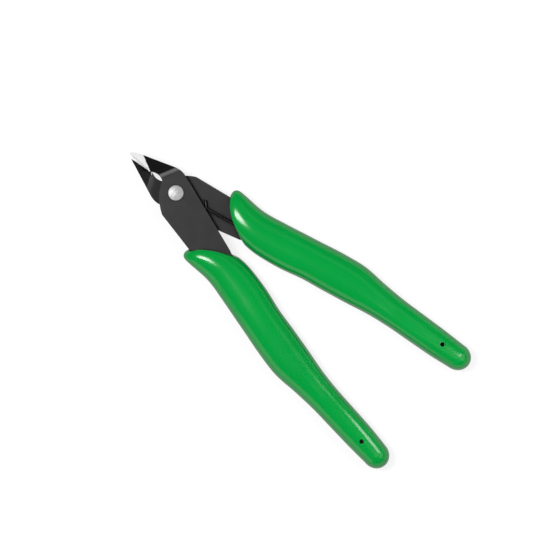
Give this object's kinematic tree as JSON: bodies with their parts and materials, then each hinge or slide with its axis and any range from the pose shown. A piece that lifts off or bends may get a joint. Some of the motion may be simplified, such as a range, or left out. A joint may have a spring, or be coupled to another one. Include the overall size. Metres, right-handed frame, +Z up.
{
  "type": "flush cut pliers",
  "caption": "Flush cut pliers: stamped steel levers with folded, ground shear jaws turn on a rivet, opened by a wire return spring and squeezed by smooth moulded green grips.",
  "frame": {"origin": "under the middle of the tool's bounding box, on the surface that the grips lie on", "axes": "+Y along the tool towards the jaw tips, +X towards the rear lever's grip, +Z up, along the pivot, towards the front lever"},
  "size_m": [0.0512, 0.1323, 0.0103],
  "materials": {
    "blackened_steel": "satin black oxide with bright ground edges",
    "rivet_steel": "bright, finely brushed",
    "spring_steel": "dark drawn spring wire",
    "green_grip": "glossy moulded vinyl"
  },
  "bodies": {
    "front_half": {"front_lever": "blackened_steel", "front_grip": "green_grip", "pivot_rivet": "rivet_steel"},
    "rear_half": {"rear_lever": "blackened_steel", "rear_grip": "green_grip", "return_spring": "spring_steel"}
  },
  "joints": [
    {"name": "jaw_pivot", "type": "hinge", "parent": "front_half", "child": "rear_half", "pos_m": [0, 0.04615, 0.0044], "axis": [0, 0, 1], "range_deg": [0, 8.5], "stiffness_Nm_per_rad": 1, "springref_deg": 12.61, "deforming": ["return_spring"]}
  ]
}
